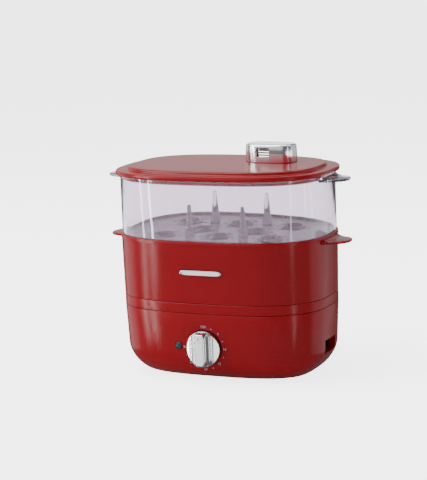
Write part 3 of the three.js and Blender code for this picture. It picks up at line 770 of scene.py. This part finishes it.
seat_rings, wired = new_tree("Seat Rings", {"Ring Radius": "Float", "Ring Thickness": "Float"})
rail = add_node(seat_rings, "GeometryNodeCurvePrimitiveCircle", {
    "Resolution": 40, "Radius": wired["Ring Radius"]})
bead = add_node(seat_rings, "GeometryNodeCurvePrimitiveCircle", {
    "Resolution": 14, "Radius": wired["Ring Thickness"]})
swept = add_node(seat_rings, "GeometryNodeCurveToMesh", {
    "Curve": rail.outputs["Curve"], "Profile Curve": bead.outputs["Curve"]})
copies = add_node(seat_rings, "GeometryNodeInstanceOnPoints", {
    "Points": wired["Geometry"], "Instance": swept.outputs["Mesh"]})
end_tree(seat_rings, copies.outputs[0], wired["Finish"])

cone_posts, wired = new_tree("Cone Posts", {"Foot Radius": "Float", "Tip Radius": "Float",
                                            "Height": "Float"})
cone = add_node(cone_posts, "GeometryNodeMeshCone", {
    "Vertices": 32, "Radius Bottom": wired["Foot Radius"], "Radius Top": wired["Tip Radius"],
    "Depth": wired["Height"]})
copies = add_node(cone_posts, "GeometryNodeInstanceOnPoints", {
    "Points": wired["Geometry"], "Instance": cone.outputs["Mesh"]})
end_tree(cone_posts, copies.outputs[0], wired["Finish"])

seat_holes, wired = new_tree("Seat Holes", {
    "Hole Radius": "Float", "Slot Circle": "Float", "Slot Count": "Int", "Slot Size": "Vector",
    "Depth": "Float"})
hole = add_node(seat_holes, "GeometryNodeMeshCylinder", {
    "Vertices": 40, "Radius": wired["Hole Radius"], "Depth": wired["Depth"]})
slot_cutter = add_node(seat_holes, "GeometryNodeMeshCylinder", {
    "Vertices": 20, "Radius": 1.0, "Depth": wired["Depth"]})
circle = add_node(seat_holes, "GeometryNodeCurvePrimitiveCircle", {
    "Resolution": wired["Slot Count"], "Radius": wired["Slot Circle"]})
spots = add_node(seat_holes, "GeometryNodeCurveToPoints", {"Curve": circle.outputs["Curve"]},
                 mode="EVALUATED")
facing = add_node(seat_holes, "FunctionNodeAlignRotationToVector", {
    "Vector": spots.outputs["Tangent"]}, axis="X")
slots = add_node(seat_holes, "GeometryNodeInstanceOnPoints", {
    "Points": spots.outputs["Points"], "Instance": slot_cutter.outputs["Mesh"],
    "Rotation": facing.outputs["Rotation"], "Scale": wired["Slot Size"]})
pattern = add_node(seat_holes, "GeometryNodeJoinGeometry")
for source in (hole.outputs["Mesh"], slots.outputs[0]):
    seat_holes.links.new(source, pattern.inputs[0])
one_seat = add_node(seat_holes, "GeometryNodeRealizeInstances", {"Geometry": pattern.outputs[0]})
copies = add_node(seat_holes, "GeometryNodeInstanceOnPoints", {
    "Points": wired["Geometry"], "Instance": one_seat.outputs[0]})
end_tree(seat_holes, copies.outputs[0], wired["Finish"])


TAB_END, TAB_THICK, TAB_EDGE = 128.4, 2.5, 0.75


def tabs(inner, low, root_top):
    """The two lifting tabs of a tier, each a rounded plate with a thicker root at the wall."""
    half = ([(inner, -22.5), (108.0, -22.5), (109.4, -20.6), (111.2, -19.2), (113, -18.4)]
            + bezier((119, -16), (125.5, -12.5), (TAB_END, -8), (TAB_END, 0)))
    outline = half + [(x, -y) for x, y in reversed(half[:-1])]
    build = bmesh.new()
    under = [build.verts.new(Vector((x, y, low)) * MM) for x, y in outline]
    plate = build.faces.new(under)
    raised = bmesh.ops.extrude_face_region(build, geom=[plate])["geom"]
    for v in raised:
        if isinstance(v, bmesh.types.BMVert):
            v.co.z += TAB_THICK * MM
    bmesh.ops.recalc_face_normals(build, faces=build.faces)
    rims = [e for e in build.edges if abs(e.verts[0].co.z - e.verts[1].co.z) < 1e-7
            and max(e.verts[0].co.x, e.verts[1].co.x) > (inner + 1) * MM]
    bmesh.ops.bevel(build, geom=rims, offset=TAB_EDGE * MM, segments=3, affect="EDGES",
                    profile=0.5)
    plate_mesh = clean(build, "tab")
    top = low + TAB_THICK
    side = [(inner, low + 0.5), (112.6, low + 0.5), (113, low + 0.9), (113, top - 0.1)]
    side += bezier((113, top - 0.1), (110.5, top), (109, top + 0.8), (108.1, root_top),
                   steps=7)[1:]
    side += [(inner, root_top)]
    build = bmesh.new()
    ends = [[build.verts.new(Vector((x, y, z)) * MM) for x, z in side] for y in (-20, 20)]
    build.faces.new(ends[0])
    build.faces.new(list(reversed(ends[1])))
    for i in range(len(side)):
        k = (i + 1) % len(side)
        build.faces.new((ends[0][i], ends[1][i], ends[1][k], ends[0][k]))
    root_mesh = clean(build, "tab root")
    made = []
    for mesh in (plate_mesh, root_mesh):
        for turn in (0, math.pi):
            copy = mesh.copy()
            copy.transform(Matrix.Translation(CENTRE) @ Matrix.Rotation(turn, 4, "Z"))
            made.append(("UNION", copy))
    return made


def tier(name, section, floor_z, tab_steps, finish):
    """A whole tier: wall and floor, tabs, posts, seat rings, and the floor's holes."""
    posts = grow(cone_posts, [(x, y, floor_z - 1) for x, y in POSTS], {
        "Foot Radius": 5 * MM, "Tip Radius": 1.6 * MM, "Height": 30 * MM, "Finish": finish})
    rings = grow(seat_rings, [(x, y, floor_z - 0.3) for x, y in SEATS], {
        "Ring Radius": 11.5 * MM, "Ring Thickness": 1.7 * MM, "Finish": finish})
    holes = grow(seat_holes, [(x, y, floor_z - 1) for x, y in SEATS], {
        "Hole Radius": 8 * MM, "Slot Circle": 17 * MM, "Slot Count": 6,
        "Slot Size": (3.6 * MM, 1.5 * MM, 1.0), "Depth": 14 * MM, "Finish": finish})
    return carve(shell(name, section, pole=True), *tab_steps, ("UNION", posts),
                 ("UNION", rings), ("DIFFERENCE", holes))


lower_section = [
    (-7, 83), (-7, 77.5), (-6.7, 77.2), (-5, 77.2), (-4.2, 77.5), (-4.1, 79.7), (-1.9, 79.7),
    (-1.5, 79.85), (-1.4, 80.3), (-0.4, 135.9), (-0.35, 136.1), (-0.08, 136.25), (0, 136.6),
    (0, 139.5), (-0.2, 140.1), (-0.7, 140.4), (-1.8, 140.4), (-2.3, 140.15), (-2.4, 139.7),
    (-3.8, 87.2), (-4.1, 86.1), (-5.2, 85.4)]
lower = put("lower_steam_tier", tier("lower", lower_section, 85.4,
                                     tabs(105.8, 132.9, 137.4), red_abs), "lower", [red_abs])
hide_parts("lower_tier")

# A plain chrome badge is stuck on the tier's front.
badge_low, badge_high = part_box("front_badge")
badge_half, badge_middle = (badge_high - badge_low) / 2, (badge_high + badge_low) / 2
BADGE_SUNK = 0.4
badge_mesh = shell("badge", [(0, 0), (0, 0.55), (-0.12, 0.8), (-0.4, 0.95), (-0.8, 1.0)],
                   (badge_half.x, badge_half.z, 9, 2.6), 120, Vector((0, 0, 0)), pole=True)
badge_mesh.transform(Matrix.Translation((badge_middle.x, badge_high.y + BADGE_SUNK * MM,
                                         badge_middle.z)) @ FRONTWARD)
badge = put("plain_badge", badge_mesh, "lower", [chrome])
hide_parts("front_badge")

# ---------------------------------------------------------------- clear steam tier
# The upper tier, moulded in clear polycarbonate with the same floor. It stands in the lower
# tier's rim, and its thick walls catch the studio's lights as long upright lines.
clear_pc, tree, place = new_material("clear moulded polycarbonate")
# A little cloudy, with calm walls and a floor that ripples where the melt came together.
swirl = add_node(tree, "ShaderNodeTexNoise", {"Vector": place, "Scale": 110.0, "Detail": 1.0})
height = add_node(tree, "ShaderNodeSeparateXYZ", {"Vector": place})
calm = add_node(tree, "ShaderNodeMapRange", {
    "Value": height.outputs["Z"], "From Min": 0.14, "From Max": 0.1425, "To Min": 0.22,
    "To Max": 0.02})
skin = add_node(tree, "ShaderNodeBump", {
    "Height": swirl.outputs["Fac"], "Strength": calm.outputs["Result"], "Distance": 0.0015})
glassy = add_node(tree, "ShaderNodeBsdfPrincipled", {
    "Base Color": linear("#E4DBE8"), "Roughness": 0.025, "IOR": 1.55,
    "Transmission Weight": 0.97, "Normal": skin.outputs["Normal"]})
# Light falls straight through the plastic on to what is inside, a tenth dimmer at each wall.
rays = add_node(tree, "ShaderNodeLightPath")
lit_through = add_node(tree, "ShaderNodeBsdfTransparent", {"Color": (0.9, 0.89, 0.91, 1.0)})
show(tree, add_node(tree, "ShaderNodeMixShader", {
    0: rays.outputs["Is Shadow Ray"], 1: glassy.outputs[0], 2: lit_through.outputs[0]}))
upper_section = [
    (-5.2, 136.4), (-5.2, 133.7), (-4.9, 133.4), (-3.1, 133.4), (-2.7, 133.8), (-2.7, 140.7),
    (-1.9, 140.7), (-1.6, 140.85), (-1.5, 141.2), (-1.5, 196.3), (-0.7, 197.3), (-0.6, 197.6),
    (-0.6, 200.1), (-0.8, 200.5), (-1.2, 200.6), (-3.3, 200.6), (-3.8, 200.4), (-3.9, 199.9),
    (-3.9, 141.4), (-4.3, 140.0), (-5.2, 139.1), (-6.4, 138.8)]
upper = put("clear_steam_tier", tier("upper", upper_section, 138.8,
                                     tabs(104.6, 193.4, 198.0), clear_pc),
            "basket", [clear_pc])
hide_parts("steam_basket")

# ---------------------------------------------------------------- lid
# Red ABS again: a thick rounded flange over the clear tier's rim, a skirt inside it, and a
# raised oval top with soft edges.
lid_section = [
    (-12.4, 205.3), (-11.6, 202.1), (-6.1, 202.1), (-6.1, 195.3), (-5.8, 194.9), (-4.6, 194.9),
    (-4.3, 195.3), (-4.3, 200.9), (-0.2, 200.9), (-0.2, 199.9), (0.1, 199.6), (1.6, 199.6),
    (2.4, 199.9), (2.9, 200.6), (3.1, 201.6), (3.0, 202.9), (2.6, 203.7), (1.9, 204.1),
    (1.0, 204.2), (-7.4, 204.2), (-8.2, 204.3), (-8.7, 204.55), (-9.0, 205.0), (-9.3, 206.2),
    (-9.6, 206.8), (-10.2, 207.25), (-11.0, 207.45), (-12.2, 207.5)]
VENT_X, VENT_Y, VENT_TURN = 40, 19.5, -0.1
VENT_HALF_X, VENT_HALF_Y = 26.4, 14.5
BOSSES = (-15, 15)
STEAM_HOLE = 4
vent_place = at(VENT_X, VENT_Y, 0) @ Matrix.Rotation(VENT_TURN, 4, "Z")
lid_cuts = []
for x, radius in ((BOSSES[0], SCREW_HOLE), (0, STEAM_HOLE), (BOSSES[1], SCREW_HOLE)):
    spot = vent_place @ Matrix.Translation((x * MM, 0, 0))
    lid_cuts.append(("DIFFERENCE", rod(radius, 200, 209, 32, spot)))
lid = put("vented_lid", carve(shell("lid", lid_section, pole=True), *lid_cuts), "lid", [red_abs])
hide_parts("lid_shell")

# ---------------------------------------------------------------- steam vent
# A chrome-plated cover screwed on from under the lid, with a louvred grille behind the window
# in its front.
vent_section = [
    (-3.8, 224.0), (-2.6, 223.4), (-2.3, 222.4), (-1.8, 207.8), (-0.4, 207.8), (-0.1, 207.9),
    (0, 208.2), (-0.5, 222.9), (-0.65, 223.8), (-1.05, 224.6), (-1.7, 225.3), (-2.5, 225.7),
    (-3.5, 225.8)]


def on_vent(mesh):
    """Moves a mesh drawn round the shells' axis on to the vent's place."""
    mesh.transform(vent_place @ Matrix.Translation(-CENTRE))
    return mesh


WINDOW_LOW, WINDOW_HIGH = Vector((-9.2, -20, 213.2)), Vector((4.6, -5, 222.2))
vent_mesh = on_vent(shell("vent", vent_section, (VENT_HALF_X * MM, VENT_HALF_Y * MM, 3, 3), 144,
                          pole=True))
BOSS_RADIUS = 4
boss_steps = [("UNION", rod(BOSS_RADIUS, 207.8, 224.3, 32,
                            vent_place @ Matrix.Translation((x * MM, 0, 0)))) for x in BOSSES]
vent = put("steam_vent_cover", carve(vent_mesh, *boss_steps, (
    "DIFFERENCE", on_vent(block(WINDOW_LOW, WINDOW_HIGH, 0.7)))), "lid", [chrome])
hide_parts("vent_cover")

louvres, wired = new_tree("Louvres", {"Bar Size": "Vector", "Count": "Int", "Pitch": "Vector",
                                      "Tilt": "Vector"})
bar = add_node(louvres, "GeometryNodeMeshCube", {"Size": wired["Bar Size"]})
row = add_node(louvres, "GeometryNodeMeshLine", {"Count": wired["Count"],
                                                 "Offset": wired["Pitch"]})
bars = add_node(louvres, "GeometryNodeInstanceOnPoints", {
    "Points": row.outputs["Mesh"], "Instance": bar.outputs["Mesh"], "Rotation": wired["Tilt"]})
copies = add_node(louvres, "GeometryNodeInstanceOnPoints", {
    "Points": wired["Geometry"], "Instance": bars.outputs[0]})
end_tree(louvres, copies.outputs[0], wired["Finish"])
window_middle = (WINDOW_LOW.x + WINDOW_HIGH.x) / 2
bar_mesh = on_vent(grow(louvres, [(window_middle, -11.4, WINDOW_LOW.z + 0.4)], {
    "Bar Size": (14.2 * MM, 1.0 * MM, 0.8 * MM), "Count": 4, "Pitch": (0, 0, 2.35 * MM),
    "Tilt": (math.radians(-26), 0, 0), "Finish": chrome}))
bar_mesh.materials.clear()
plate = carve(block((-10.2, -11.2, 212.2), (5.6, -10.1, 223.2), 0.2),
              ("DIFFERENCE", block((-9.0, -13, 213.4), (4.4, -8, 222.0), 0.3)))
grille = put("vent_louvres", merged([on_vent(plate), bar_mesh], "grille"), "lid", [chrome])
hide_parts("vent_grille")

vent_points = [(vent_place @ Vector((x * MM, 0, 205.3 * MM)) - CENTRE) / MM for x in BOSSES]
set_pieces("vent_screws", pan_screw(12), vent_points, "lid", zinc_steel,
           ["vent_screw_1", "vent_screw_2"])

for piece, lit in ((dial, front_chrome), (badge, front_chrome), (vent, vent_chrome),
                   (grille, vent_chrome)):
    lit.objects.link(piece)
